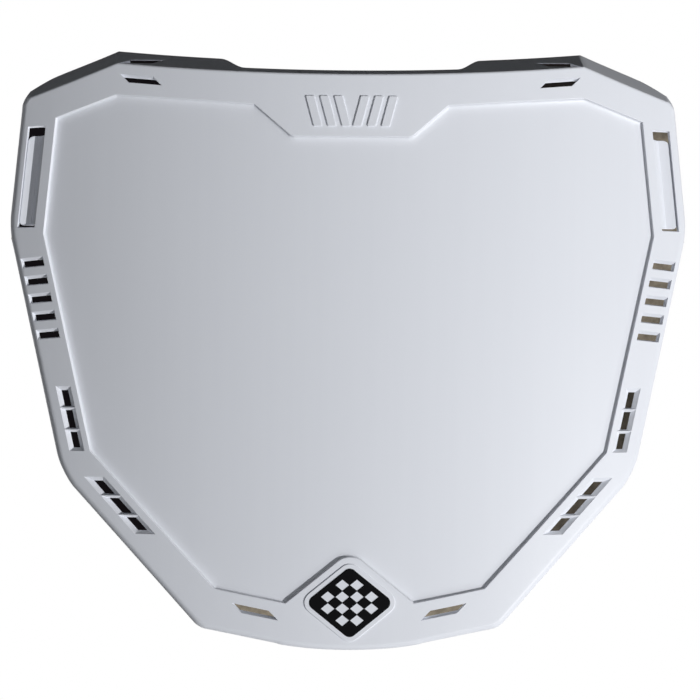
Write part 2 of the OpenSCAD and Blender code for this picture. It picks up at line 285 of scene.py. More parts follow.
def panelPoints(grow):
    # right half of the panel's outline, from the middle of the top step down to the badge
    half = panel["stepTopWidth"] / 2
    d = Vector((panel["stepTopWidth"] - panel["stepLowWidth"], 2 * panel["stepDrop"])).normalized()
    stepN = Vector((-d.y, d.x))
    stepC = stepN.dot(Vector((panel["stepLowWidth"] / 2, stepZ))) + grow
    topN = Vector((topEdge(half) - topZ, cornerX - half)).normalized()
    topC = topN.dot(Vector((cornerX, topZ - panel["borders"][0]))) + grow
    bossN = Vector((math.sin(badgeAngle), math.cos(badgeAngle)))
    bossC = bossN.dot(Vector((0, bossTop))) - grow
    sides = [(n, c - b + grow) for (n, c), b in zip(rightLines, panel["borders"][1:])]
    up = Vector((0, 1))
    pts = [crossing(up, stepZ + grow, stepN, stepC), crossing(stepN, stepC, topN, topC),
           crossing(topN, topC, *sides[0])]
    pts += [crossing(*sides[i], *sides[i + 1]) for i in range(4)]
    pts.append(crossing(*sides[4], bossN, bossC))
    pts.append((0.0, bossTop - grow / math.cos(badgeAngle)))
    return pts


def panelShape(name, grow, depth):
    half = panelPoints(grow)
    points = (half + [(-x, z) for x, z in reversed(half[:-1])])[::-1]
    obj = flatShape(name, points, depth)
    stepX, stepTop = half[0]
    for side in (1, -1):
        roundCorner(obj, points, (side * stepX, stepTop), panel["stepRadius"] - grow, panel["stepSegments"])
    roundCorner(obj, points, half[-1], panel["badgeRadius"] + panel["badgeMargin"] - grow,
                panel["badgeSegments"])
    return obj


# The moulded dish


def wallKind(n):
    # 0 on the side and bottom walls, 1 on the top and shoulder walls, in between at the corners
    angle = math.degrees(math.atan2(n.y, abs(n.x)))
    return min(1.0, max(0.0, (angle - outline["sideAngle"]) / (outline["topAngle"] - outline["sideAngle"])))


def rearDepth(p, mitre, draft):
    # the two deep parts of the wall, at the x that the sloping wall has reached at its rear edge
    low, high = outline["rimDepth"], outline["earDepth"]
    if p.y < outline["earLow"]:
        return low
    depth = low
    for attempt in range(12):  # depth and place depend on each other, and settle step by step
        x = abs(p.x + mitre.x * draft * depth)
        a, b = outline["earEnd"]
        rise = math.cos(math.pi / 2 * min(1.0, max(0.0, (x - a) / (b - a))))
        a, b = outline["earStep"]
        depth = (depth + low + (high - low) * min(rise, smoothStep((x - a) / (b - a)))) / 2
    return depth


def dishRing():
    # the outline as a closed ring of edges, cut where the wall's rear edge steps or bends
    obj = flatShape("board_shell", allCorners)
    for (x, z), radius, segments in zip(rightCorners, outline["radii"], outline["segments"]):
        if radius > 0:
            for side in (1, -1):
                roundCorner(obj, allCorners, (side * x, z), radius, segments)
    roundCorner(obj, allCorners, outline["tip"], outline["tipRadius"], outline["tipSegments"])
    a, b = outline["earStep"]
    steps = [a + (b - a) * i / 10 for i in range(11)] + [outline["earEnd"][0] + i for i in range(16)]
    places = set(evenPlaces(outline["ringPitch"], 25) + steps + [-s for s in steps])
    cutAt(obj, sorted(places), (1, 0, 0))
    cuts = outline["earCuts"]
    cutAt(obj, [cuts["from"] + i * cuts["pitch"] for i in range(cuts["count"])], (0, 0, 1))
    bm = editMesh(obj, "EDGE")
    for e in bm.edges:
        e.select_set(len(e.link_faces) > 1)
    bmesh.update_edit_mesh(obj.data)
    bpy.ops.mesh.dissolve_edges(use_verts=False)
    bpy.ops.mesh.select_all(action="SELECT")
    bpy.ops.mesh.delete(type="ONLY_FACE")
    leaveEditMode()
    return obj


def ringOrder(bm):
    # the ring's vertices one after another, from the middle of the top
    start = min(bm.verts, key=lambda v: (-v.co.z, abs(v.co.x)))
    order, seen = [start], {start}
    while True:
        links = [e.other_vert(order[-1]) for e in order[-1].link_edges]
        links = [v for v in links if v not in seen]
        if len(order) == 1:
            links.sort(key=lambda v: v.co.x)  # leftwards along the top: counter-clockwise
        if not links:
            break
        order.append(links[0])
        seen.add(links[0])
    return order


def followBend(p):
    # a flat sloping wall meets the bent face in a curve: a point of the ring moves out to it
    q = Vector((abs(p.x), p.y))
    chain = [(0, topZ)] + rightChain
    for j, (n, c) in enumerate([(Vector((0, 1)), topZ)] + rightLines):
        a, b = Vector(chain[j]), Vector(chain[j + 1])
        if abs(n.dot(q) - c) < 0.01 and min(a.x, b.x) - 0.01 <= q.x <= max(a.x, b.x) + 0.01:
            ends = (bendDepth(a.x), bendDepth(b.x)) if j else (bendDepth(cornerX), bendDepth(cornerX))
            share = (q - a).dot(b - a) / (b - a).length_squared
            draft = outline["topDraft"] if j < 2 else outline["sideDraft"]
            push = draft * (bendDepth(q.x) - between(*ends, share))
            return p + Vector((math.copysign(n.x, p.x), n.y)) * push
    return p


def extrudeRing(obj, ring, row):
    # extrudes the ring's edges and puts each new vertex at its place in the row
    bpy.ops.mesh.select_mode(type="EDGE")
    bpy.ops.mesh.select_all(action="DESELECT")
    bm = bmesh.from_edit_mesh(obj.data)
    bm.verts.ensure_lookup_table()
    members = set(ring)
    for i, index in enumerate(ring):
        v, w = bm.verts[index], bm.verts[ring[(i + 1) % len(ring)]]
        for e in v.link_edges:
            if e.other_vert(v) is w:
                e.select_set(True)
    bmesh.update_edit_mesh(obj.data)
    bpy.ops.mesh.extrude_region_move()
    bm = bmesh.from_edit_mesh(obj.data)
    bm.verts.ensure_lookup_table()
    bm.verts.index_update()
    fresh = []
    for index in ring:
        v = bm.verts[index]
        fresh.append(next(e.other_vert(v).index for e in v.link_edges
                          if e.other_vert(v).select and e.other_vert(v).index not in members))
    for i, index in enumerate(fresh):
        bm.verts[index].co = row(i)
    bmesh.update_edit_mesh(obj.data)
    return fresh


def buildShell():
    obj = dishRing()
    bm = editMesh(obj)
    order = ringOrder(bm)
    flat = [followBend(Vector((v.co.x, v.co.z))) for v in order]
    count = len(flat)
    mitres, kinds = [], []
    for i in range(count):
        a = (flat[i] - flat[i - 1]).normalized()
        b = (flat[(i + 1) % count] - flat[i]).normalized()
        na, nb = Vector((a.y, -a.x)), Vector((b.y, -b.x))
        n = (na + nb).normalized()
        mitres.append(n / max(0.3, n.dot(na)))
        kinds.append(wallKind(n))
    drafts = [between(outline["sideDraft"], outline["topDraft"], k) for k in kinds]
    radii = [between(outline["sideEdgeRadius"], outline["topEdgeRadius"], k) for k in kinds]
    rears = [rearDepth(*wall) for wall in zip(flat, mitres, drafts)]

    def place(i, out, depth):
        p = flat[i] + mitres[i] * out
        return Vector((p.x, depth, p.y))

    def frontRow(t):
        def at(i):
            r, d = radii[i], drafts[i]
            angle = (math.pi / 2 - math.atan(d)) * t
            start = -r * math.tan((math.pi / 2 - math.atan(d)) / 2)
            return place(i, start + r * math.sin(angle), r - r * math.cos(angle))
        return at

    def rearRow(back, step):
        return lambda i: place(i, drafts[i] * (rears[i] - back) - step, rears[i] - back)

    def innerRow(depth, step):
        return lambda i: place(i, drafts[i] * depth - step, depth)

    edgeRows = outline["frontEdgeRows"]
    first, *rows = [frontRow(k / edgeRows) for k in range(edgeRows + 1)]
    rows += [rearRow(*row) for row in outline["rearEdge"]]
    rows += [innerRow(*row) for row in outline["innerCorner"]]
    bm.verts.index_update()
    ring = [v.index for v in order]
    for i, v in enumerate(order):
        v.co = first(i)
    bmesh.update_edit_mesh(obj.data)
    for row in rows:
        ring = extrudeRing(obj, ring, row)
    leaveEditMode()
    return obj


def fillBetween(obj, depth):
    # closes the border between the outer wall and the panel's wall at one depth
    bm = editMesh(obj, "EDGE")
    for e in bm.edges:
        flat = all(abs(v.co.y - depth) < 0.002 for v in e.verts)
        e.select_set(flat and len(e.link_faces) == 1)
    bmesh.update_edit_mesh(obj.data)
    bpy.ops.mesh.fill(use_beauty=True)
    leaveEditMode()


shell = buildShell()
front = panelShape("panel_front", panel["frontGrow"], 0.0)
insetRows(front, panel["frontRows"])
back = panelShape("panel_back", panel["backGrow"], wallThick)
insetRows(back, panel["backRows"])
board = joinInto(shell, [front, back])
fillBetween(board, 0.0)
fillBetween(board, wallThick)
editMesh(board)
bpy.ops.mesh.select_all(action="SELECT")
bpy.ops.mesh.remove_doubles(threshold=0.001)
bpy.ops.mesh.normals_make_consistent(inside=False)
leaveEditMode()
print("dish closed:", len(board.data.polygons), "faces")

# Openings in the border

openings = {
    "flareDepth": 1.5,
    # how far the cutters reach in front of the rim, and behind it
    "mouthOver": 1.0,
    "reach": 3 * wallThick + 6,
    # flares: at the inner, outer, lower and upper edge
    "vents": {"count": 5, "size": (8.8, 3.7), "top": 31.9, "pitch": 6.6, "tilt": 5.0, "inset": 6.0,
              "flare": (0.35, 0.8, 0.35, 1.1)},
    "rows": [{"line": 2, "ends": (-13.6, -37.5), "inset": 7.5},
             {"line": 3, "ends": (-46.5, -67.1), "inset": 8.2}],
    "rowCount": 3,
    "rowWidth": 5.6,
    "ridge": 0.2,
    "rowFlare": {"inner": 1.4, "outer": 1.6, "lower": 0.4, "lowest": 1.2, "upper": 0.85, "highest": 1.5},
    "windowSize": (6.9, 37.4),
    "windowZ": 63.4,
    "windowStrip": 3.0,
    "windowFlare": (0.3, 0.3, 0.3, 0.3),
    "slotLean": -45,
    "topSlot": {"size": (12.4, 2.9), "x": 76.3, "inset": 5.2, "flare": (0.2, 0.2, 0.2, 0.9)},
    "lowSlot": {"size": (13.4, 2.8), "x": 33.9, "inset": 9.6, "flare": (0.2, 0.2, 0.7, 0.2)},
    "earSlot": {"width": 4.4, "from": 100.5, "to": 125.0},
}


def openingCutter(name, x, z, w, h, tilt, lean, flare):
    # a straight core with a wider mouth at the front: inner, outer, lower and upper flare
    tilt, lean = math.radians(tilt), math.radians(lean)
    along = Vector((math.cos(tilt), math.sin(tilt)))
    up = Vector((-math.sin(lean), math.cos(lean)))
    square = 1 / (along.x * up.y - along.y * up.x)
    flareDepth, mouthOver = openings["flareDepth"], openings["mouthOver"]
    grow = (flareDepth + mouthOver) / flareDepth
    leaveEditMode()
    bpy.ops.mesh.primitive_cube_add(size=2)
    obj = bpy.context.object
    obj.name = name
    bm = editMesh(obj, "FACE")
    for f in bm.faces:
        f.select_set(f.normal.y < -0.5)
    bmesh.update_edit_mesh(obj.data)
    bpy.ops.mesh.extrude_region_move(TRANSFORM_OT_translate={"value": (0, -1, 0)})
    leaveEditMode()
    for v in obj.data.vertices:
        sx, sz, layer = v.co.x, v.co.z, round(v.co.y)
        mouth = grow if layer == -2 else 0
        inner, outer = flare[0] * mouth * (sx < 0), flare[1] * mouth * (sx > 0)
        lower, upper = flare[2] * mouth * (sz < 0), flare[3] * mouth * (sz > 0)
        a = sx * (w - flare[0] - flare[1]) / 2 + (flare[0] - flare[1]) / 2 - inner + outer
        b = sz * (h - flare[2] - flare[3]) / 2 + (flare[2] - flare[3]) / 2 - lower + upper
        p = Vector((x, z)) + along * a + up * b * square
        v.co = (p.x, {1: openings["reach"], -1: flareDepth, -2: -mouthOver}[layer], p.y)
    return obj


def copyMirrored(obj):
    twin = obj.copy()
    twin.data = obj.data.copy()
    bpy.context.collection.objects.link(twin)
    for v in twin.data.vertices:
        v.co.x = -v.co.x
    editMesh(twin)
    bpy.ops.mesh.select_all(action="SELECT")
    bpy.ops.mesh.flip_normals()
    leaveEditMode()
    return twin


def ventCutters():
    vents = openings["vents"]
    levels = [vents["top"] - k * vents["pitch"] for k in range(vents["count"])]
    return [openingCutter("vent", lineX(2, z, vents["inset"]), z, *vents["size"], -vents["tilt"],
                          math.degrees(lineLean(2)), vents["flare"]) for z in levels]


def rowCutters(row):
    # windows in a row along one wall, with low ridges left between them
    count, edges = openings["rowCount"], openings["rowFlare"]
    pitch = (row["ends"][0] - row["ends"][1]) / count
    lean = lineLean(row["line"])
    made = []
    for k in range(count):
        z = row["ends"][0] - (k + 0.5) * pitch
        flare = (edges["inner"] / math.cos(lean), edges["outer"] / math.cos(lean),
                 edges["lowest"] if k == count - 1 else edges["lower"],
                 edges["highest"] if k == 0 else edges["upper"])
        made.append(openingCutter("window", lineX(row["line"], z, row["inset"]), z,
                                  openings["rowWidth"] / math.cos(lean), pitch - openings["ridge"],
                                  0, math.degrees(lean), flare))
    return made


def strapWindowCutter():
    w, h = openings["windowSize"]
    z = openings["windowZ"]
    return openingCutter("strap_window", lineX(1, z, openings["windowStrip"]) - w / 2, z, w, h,
                         0, math.degrees(lineLean(1)), openings["windowFlare"])


def topSlotCutter():
    slot = openings["topSlot"]
    x = slot["x"]
    slope = math.degrees(math.atan2(topEdge(x + 5) - topEdge(x - 5), 10))
    return openingCutter("top_slot", x, topEdge(x) - slot["inset"], *slot["size"], slope,
                         openings["slotLean"], slot["flare"])


def lowSlotCutter():
    slot = openings["lowSlot"]
    return openingCutter("low_slot", slot["x"], lineZ(4, slot["x"], slot["inset"]), *slot["size"],
                         math.degrees(lineLean(4)) + 90, openings["slotLean"], slot["flare"])


def earSlotCutter():
    # the slot in the deep wall at the top corner, above the slot in the face
    slot, ear = openings["topSlot"], openings["earSlot"]
    leaveEditMode()
    bpy.ops.mesh.primitive_cube_add(size=2)
    obj = bpy.context.object
    for v in obj.data.vertices:
        sx, sy, sz = v.co
        x = slot["x"] + (slot["size"][0] * sx - ear["width"] * sy) / 2
        y = wallThick + ear["width"] * (1 + sy) / 2 + bendDepth(slot["x"]) - bendDepth(x)
        v.co = (x, y, ear["from"] if sz < 0 else ear["to"])
    return obj


cutters = ventCutters()
for row in openings["rows"]:
    cutters += rowCutters(row)
cutters += [strapWindowCutter(), topSlotCutter(), lowSlotCutter(), earSlotCutter()]
cutters += [copyMirrored(c) for c in list(cutters)]
carve(board, joinInto(cutters[0], cutters[1:]))
print("openings cut:", len(board.data.polygons), "faces")

cutAt(board, evenPlaces(facetPitch, 51), (1, 0, 0))

# The raised diamond and the bars, on the front of the rim

raised = {"badgeRise": 0.45, "badgeEdge": 0.28, "barSize": (3.2, 11.0), "barPitch": 5.1, "barLean": 15.0,
          "barRise": 0.6, "barEdge": 0.3, "barGap": 3.8, "barRadius": 0.5, "barCount": 3, "barStart": 0.3,
          "sunk": 0.6, "cornerSegments": 7, "edgeRows": 4}


def raisedShape(name, points, radius, rise, edge):
    # a plate sunk into the rim, with its corners round and its front edge soft
    obj = flatShape(name, points[::-1], raised["sunk"])
    for p in points:
        roundCorner(obj, points, p, radius, raised["cornerSegments"])
    editMesh(obj, "FACE")
    bpy.ops.mesh.select_all(action="SELECT")
    height = raised["sunk"] + rise - edge
    bpy.ops.mesh.extrude_region_move(TRANSFORM_OT_translate={"value": (0, -height, 0)})
    step = 90 / raised["edgeRows"]
    for k in range(raised["edgeRows"]):
        a, b = math.radians(step * k), math.radians(step * (k + 1))
        bpy.ops.mesh.inset(thickness=edge * (math.cos(a) - math.cos(b)),
                           depth=edge * (math.sin(b) - math.sin(a)), use_even_offset=True)
    leaveEditMode()
    cutAt(obj, evenPlaces(facetPitch, 12), (1, 0, 0))
    return obj


def diamondPlate():
    w, h, z = badgeWidth / 2, badgeHeight / 2, -panel["badgeDrop"]
    return raisedShape("badge_base", [(0.0, z + h), (w, z), (0.0, z - h), (-w, z)],
                       panel["badgeRadius"], raised["badgeRise"], raised["badgeEdge"])


def slantingBar(k):
    w, h = raised["barSize"]
    shift = h / 2 * math.tan(math.radians(raised["barLean"]))
    x = raised["barStart"] + w / 2 + shift + k * raised["barPitch"]
    z = stepZ + raised["barGap"] + h / 2
    bar = [(x - w / 2 - shift, z - h / 2), (x - w / 2 + shift, z + h / 2),
           (x + w / 2 + shift, z + h / 2), (x + w / 2 - shift, z - h / 2)]
    return raisedShape("bar", bar, raised["barRadius"], raised["barRise"], raised["barEdge"])


details = [diamondPlate()]
for k in range(raised["barCount"]):
    details.append(slantingBar(k))
    details.append(copyMirrored(details[-1]))
joinInto(board, details)
bendAndPlace(board)
smoothShading(board, smoothAngle)
print("board bent:", len(board.data.polygons), "faces")

# The strap hooks, behind the tall windows

hookSizes = {"depth": 3.6, "reach": 2.2, "gap": 0.45, "topGap": 3.4, "lowGap": 1.1, "thick": 1.8, "lead": 2.4,
             "corners": (1.6, 2.2), "cornerSegments": 6, "over": 6, "faceGap": 0.5, "softEdge": 0.35}


def roundFreeCorners(obj, turn, end, levels):
    # the corners at the hook's free edge, found in the hook's own frame
    for radius, level in zip(hookSizes["corners"], levels):
        bm = editMesh(obj, "EDGE")
        for e in bm.edges:
            a, b = (turn.inverted() @ v.co for v in e.verts)
            free = abs(a.x - end) < 0.02 and abs(b.x - end) < 0.02 and abs(a.y - b.y) > 1
            e.select_set(free and all(abs(v.co.z - level) < 0.01 for v in e.verts))
        bmesh.update_edit_mesh(obj.data)
        bpy.ops.mesh.bevel(offset=radius, offset_type="OFFSET", segments=hookSizes["cornerSegments"],
                           affect="EDGES", clamp_overlap=False)
    leaveEditMode()


def strapHook():
    w, h = openings["windowSize"]
    windowZ = openings["windowZ"]
    lean = lineLean(1)
    inner = lineX(1, windowZ, openings["windowStrip"]) - w
    z0 = windowZ - h / 2 + hookSizes["lowGap"]
    z1 = windowZ + h / 2 - hookSizes["topGap"]
    reach, depth, thick, lead = (hookSizes[k] for k in ("reach", "depth", "thick", "lead"))
    slope = depth / reach
    end = w - hookSizes["gap"]
    profile = [(-lead, -lead * slope), (reach, depth), (end, depth), (end, depth + thick),
               (reach - thick / 2, depth + thick), (-lead - thick * 1.2, -lead * slope)]
    leaveEditMode()
    bpy.ops.mesh.primitive_circle_add(vertices=len(profile), radius=5, fill_type="NGON")
    obj = bpy.context.object
    obj.name = "strap_hook"
    for v, p in zip(obj.data.vertices, profile):
        v.co = (p[0], p[1], -h / 2 - hookSizes["over"])
    editMesh(obj, "FACE")
    bpy.ops.mesh.select_all(action="SELECT")
    bpy.ops.mesh.extrude_region_move(TRANSFORM_OT_translate={"value": (0, 0, h + 2 * hookSizes["over"])})
    bpy.ops.mesh.select_all(action="SELECT")
    bpy.ops.mesh.normals_make_consistent(inside=False)
    leaveEditMode()
    follow = math.atan(math.tan(lean) * math.tan(math.asin(inner / bendRadius)))
    turn = Matrix.Rotation(-lean, 4, "Y") @ Matrix.Rotation(follow, 4, "X")
    turn = Matrix.Translation((inner, bendDepth(inner), windowZ)) @ turn
    obj.data.transform(turn)
    # cut to length, and along the face's own slope where it would stand in front of the face
    faceTurn = math.asin(inner / bendRadius)
    cuts = [((0, 0, z0), (0, 0, -1)), ((0, 0, z1), (0, 0, 1)),
            ((inner, bendDepth(inner) + hookSizes["faceGap"], windowZ),
             (math.sin(faceTurn), -math.cos(faceTurn), 0))]
    editMesh(obj)
    for place, normal in cuts:
        bpy.ops.mesh.select_all(action="SELECT")
        bpy.ops.mesh.bisect(plane_co=place, plane_no=normal, use_fill=True, clear_outer=True)
    roundFreeCorners(obj, turn, end, (z0, z1))
    mod = obj.modifiers.new("soft edges", "BEVEL")
    mod.width = hookSizes["softEdge"]
    mod.segments = 3
    mod.angle_limit = math.radians(30)
    activate(obj)
    bpy.ops.object.modifier_apply(modifier=mod.name)
    return obj


hook = strapHook()
hooks = joinInto(hook, [copyMirrored(hook)])
hooks.data.transform(Matrix.Translation((0, -panelDepth, 0)))
hooks.data.transform(Matrix.Scale(toMetres, 4))
smoothShading(hooks, smoothAngle)
print("hooks made")

# Finishes


def newMaterial(name):
    mat = bpy.data.materials.new(name)
    mat.use_nodes = True
    nodes = mat.node_tree.nodes
    nodes.clear()
    return mat, nodes, mat.node_tree.links, nodes.new("ShaderNodeOutputMaterial")


def addNode(nodes, kind, values=None, **settings):
    node = nodes.new("ShaderNode" + kind)
    for key, value in settings.items():
        setattr(node, key, value)
    for socket, value in (values or {}).items():
        node.inputs[socket].default_value = value
    return node


def addMath(nodes, links, operation, first, second):
    node = addNode(nodes, "Math", operation=operation)
    links.new(first, node.inputs[0])
    links.new(second, node.inputs[1])
    return node.outputs[0]


def addNoise(nodes, links, vector, scale, detail):
    node = addNode(nodes, "TexNoise", {"Scale": scale, "Detail": detail})
    links.new(vector, node.inputs["Vector"])
    return node.outputs["Fac"]


def addRange(nodes, links, value, low, high, toLow=0.0, toHigh=1.0):
    node = addNode(nodes, "MapRange", {"From Min": low, "From Max": high, "To Min": toLow, "To Max": toHigh})
    links.new(value, node.inputs["Value"])
    return node.outputs[0]


skinSizes = {"streakStretch": (1.0, 1.0, 0.03), "streakScale": 220.0, "cloudScale": 14.0, "roughSpread": 0.10,
             "grainScale": 2600.0, "grainHeight": 0.00004}


def buildMouldedSkin():
    # fine flow streaks, soft cloudiness and a satin grain, for moulded and printed surfaces
    group = bpy.data.node_groups.new("mouldedSkin", "ShaderNodeTree")
    sockets = [("Color", "INPUT", "Color"), ("Shade", "INPUT", "Color"), ("Streaks", "INPUT", "Float"),
               ("Roughness", "INPUT", "Float"), ("Grain", "INPUT", "Float"), ("Color", "OUTPUT", "Color"),
               ("Roughness", "OUTPUT", "Float"), ("Normal", "OUTPUT", "Vector")]
    for name, way, kind in sockets:
        group.interface.new_socket(name=name, in_out=way, socket_type="NodeSocket" + kind)
    nodes, links = group.nodes, group.links
    inp = nodes.new("NodeGroupInput")
    out = nodes.new("NodeGroupOutput")
    coords = addNode(nodes, "TexCoord").outputs["Object"]
    stretch = addNode(nodes, "Mapping", {"Scale": skinSizes["streakStretch"]})
    links.new(coords, stretch.inputs["Vector"])
    streaks = addNoise(nodes, links, stretch.outputs["Vector"], skinSizes["streakScale"], 3.0)
    cloud = addNoise(nodes, links, coords, skinSizes["cloudScale"], 4.0)
    both = addMath(nodes, links, "ADD", streaks, cloud)
    mix = addNode(nodes, "Mix", data_type="RGBA")
    links.new(addMath(nodes, links, "MULTIPLY", both, inp.outputs["Streaks"]), mix.inputs["Factor"])
    links.new(inp.outputs["Color"], mix.inputs["A"])
    links.new(inp.outputs["Shade"], mix.inputs["B"])
    links.new(mix.outputs["Result"], out.inputs["Color"])
    rough = addNode(nodes, "Math", {1: skinSizes["roughSpread"]}, operation="MULTIPLY_ADD")
    links.new(cloud, rough.inputs[0])
    links.new(inp.outputs["Roughness"], rough.inputs[2])
    links.new(rough.outputs[0], out.inputs["Roughness"])
    bump = addNode(nodes, "Bump", {"Distance": skinSizes["grainHeight"]})
    links.new(inp.outputs["Grain"], bump.inputs["Strength"])
    links.new(addNoise(nodes, links, coords, skinSizes["grainScale"], 2.0), bump.inputs["Height"])
    links.new(bump.outputs["Normal"], out.inputs["Normal"])
    return group


mouldedSkin = buildMouldedSkin()


def plasticFinish(name, finish):
    mat, nodes, links, out = newMaterial(name)
    shader = addNode(nodes, "BsdfPrincipled", {"Specular IOR Level": finish["gloss"]})
    links.new(shader.outputs["BSDF"], out.inputs["Surface"])
    skin = addNode(nodes, "Group", node_tree=mouldedSkin)
    skin.inputs["Color"].default_value = (*finish["color"], 1)
    skin.inputs["Shade"].default_value = (*finish["shade"], 1)
    for plug in ("Streaks", "Roughness", "Grain"):
        skin.inputs[plug].default_value = finish[plug.lower()]
    for plug, socket in (("Color", "Base Color"), ("Roughness", "Roughness"), ("Normal", "Normal")):
        links.new(skin.outputs[plug], shader.inputs[socket])
    return mat


whiteFinish = {"color": (0.80, 0.815, 0.86), "shade": (0.72, 0.735, 0.79), "streaks": 0.25, "roughness": 0.38,
               "grain": 0.25, "gloss": 0.3}
inkFinish = {"color": (0.003, 0.003, 0.0035), "shade": (0.01, 0.01, 0.011), "streaks": 0.3, "roughness": 0.5,
             "grain": 0.3, "gloss": 0.03}
whitePlastic = plasticFinish("white_moulding", whiteFinish)
blackInk = plasticFinish("black_print", inkFinish)


def giveMaterial(obj, mat):
    obj.data.materials.clear()
    obj.data.materials.append(mat)


giveMaterial(board, whitePlastic)
giveMaterial(hooks, whitePlastic)
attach(board, "root")
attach(hooks, "root")
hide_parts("board")
giveMaterial(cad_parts["badge_print"], blackInk)
print("finishes given")

# Floor, ground, light and camera

studio = {"floorZ": -1.0, "size": 12.0, "white": 1.0, "card": (0.8, 0.8, 0.8, 1)}


def stagePlane(name, location, rotation, size):
    leaveEditMode()
    bpy.ops.mesh.primitive_plane_add(size=size, location=location, rotation=rotation)
    plane = bpy.context.object
    plane.name = name
    activate(plane)
    bpy.ops.object.transform_apply(location=True, rotation=True, scale=True)
    return plane


def hideFrom(obj, kinds):
    for kind in kinds:
        setattr(obj, "visible_" + kind, False)


def paleRays(nodes, links):
    # 1 for the rays of the camera, of gloss and of glass
    path = addNode(nodes, "LightPath")
    pale = addMath(nodes, links, "MAXIMUM", path.outputs["Is Camera Ray"], path.outputs["Is Glossy Ray"])
    return addMath(nodes, links, "MAXIMUM", pale, path.outputs["Is Transmission Ray"])


def mixShaders(nodes, links, share, first, second, out):
    mix = addNode(nodes, "MixShader")
    links.new(share, mix.inputs["Fac"])
    links.new(first.outputs[0], mix.inputs[1])
    links.new(second.outputs[0], mix.inputs[2])
    links.new(mix.outputs[0], out.inputs["Surface"])


def stageMaterial():
    # looks white to the camera and to gloss, and takes light and shadow as a pale card
    mat, nodes, links, out = newMaterial("pale_stage")
    card = addNode(nodes, "BsdfDiffuse", {"Color": studio["card"]})
    glow = addNode(nodes, "Emission", {"Color": (1, 1, 1, 1), "Strength": studio["white"]})
    mixShaders(nodes, links, paleRays(nodes, links), card, glow, out)
    return mat


floor = stagePlane("floor", (0, 0, studio["floorZ"]), (0, 0, 0), studio["size"])
giveMaterial(floor, stageMaterial())

# a dark card behind and above keeps the pale surroundings out of the gloss of the top walls
darkFlag = {"at": (0.0, 1.5, 1.3), "tilt": 139, "size": 3.4, "color": (0.02, 0.02, 0.022, 1)}


def flagMaterial():
    mat, nodes, links, out = newMaterial("dark_flag")
    card = addNode(nodes, "BsdfDiffuse", {"Color": darkFlag["color"]})
    links.new(card.outputs[0], out.inputs["Surface"])
    return mat


flag = stagePlane("dark_flag", darkFlag["at"], (math.radians(darkFlag["tilt"]), 0.0, 0.0), darkFlag["size"])
giveMaterial(flag, flagMaterial())
hideFrom(flag, ("camera", "diffuse", "transmission", "volume_scatter", "shadow"))

# the ground that shows through the openings in the photo, painted on a sheet that glows without a lamp:
# painted shadow, near black, on the left, and painted sunlit brown ground on the right
ground = {
    "depth": 5.0,
    "inset": 1.2,
    "tip": (0.0, -106.5),
    # the sheet stands back here, and a deeper pad takes its place behind each strap window
    "windowPad": {"from": 41.0, "to": 86.5, "sheetX": 106.5, "padX": 106.0},
    # a small pad stands just in front of the rear face of each slot in the deep walls, and covers that face
    # with painted shadow
    "slotPad": {"depth": 6.3, "gap": 0.12, "height": 2.5, "inwards": 10, "outwards": 8},
    # the colour of the painted shadow, then the colour of the painted sunlit ground
    "paintedShadow": (0.006, 0.005, 0.006),
    "paintedSunlitGround": (0.30, 0.26, 0.20),
    "grit": 420.0,
    # where the painted sunlit ground takes over from the painted shadow, in metres: towards the right, and at
    # the very bottom
    "sunlitX": (0.0, 0.03),
    "sunlitZ": (-0.08, -0.086),
    # bands over the height that set how much painted sunlit ground shows against the painted shadow
    "shadowBandsZ": (-0.11, 0.11),
    "shadowBands": [(0.0, 1.0), (1.0, 0.02), (0.14, 0.95), (0.2, 0.3), (0.4, 0.16), (0.44, 0.16), (0.49, 0.7),
              (0.86, 0.85), (0.9, 0.04)],
}


def paintedGroundMaterial():
    # painted sunlit brown ground in bands over the height, with painted shadow around them, glowing without a
    # lamp; only the front side shows
    mat, nodes, links, out = newMaterial("painted_ground_behind")
    coords = addNode(nodes, "TexCoord").outputs["Object"]
    grit = addNoise(nodes, links, coords, ground["grit"], 3.0)
    split = addNode(nodes, "SeparateXYZ")
    links.new(coords, split.inputs[0])
    right = addRange(nodes, links, split.outputs["X"], *ground["sunlitX"])
    lowest = addRange(nodes, links, split.outputs["Z"], *ground["sunlitZ"])
    sunlitSide = addMath(nodes, links, "MAXIMUM", right, lowest)
    shadowBands = addNode(nodes, "ValToRGB")
    for k, (place, level) in enumerate(ground["shadowBands"]):
        stop = shadowBands.color_ramp.elements[k] if k < 2 else shadowBands.color_ramp.elements.new(place)
        stop.position = place
        stop.color = (level, level, level, 1)
    links.new(addRange(nodes, links, split.outputs["Z"], *ground["shadowBandsZ"]), shadowBands.inputs["Fac"])
    sunlitShare = addMath(nodes, links, "MULTIPLY", sunlitSide, shadowBands.outputs["Color"])
    specks = addRange(nodes, links, grit, 0.3, 0.7, 0.55, 1.0)
    # a share of 0 gives the painted shadow and 1 the painted sunlit ground; the grit specks are the ground's
    # own tone
    color = addNode(nodes, "Mix", data_type="RGBA")
    color.inputs["A"].default_value = (*ground["paintedShadow"], 1)
    color.inputs["B"].default_value = (*ground["paintedSunlitGround"], 1)
    links.new(addMath(nodes, links, "MULTIPLY", sunlitShare, specks), color.inputs["Factor"])
    glow = addNode(nodes, "Emission")
    links.new(color.outputs["Result"], glow.inputs["Color"])
    rear = addNode(nodes, "NewGeometry").outputs["Backfacing"]
    mixShaders(nodes, links, rear, glow, addNode(nodes, "BsdfTransparent"), out)
    return mat


def deepPad(points, depthAt):
    # a patch at a depth of its own: what bendAndPlace will add is taken off at each point
    obj = flatShape("painted_ground_pad", points)
    for v in obj.data.vertices:
        v.co.y = depthAt(v.co) - bendDepth(v.co.x)
    return obj


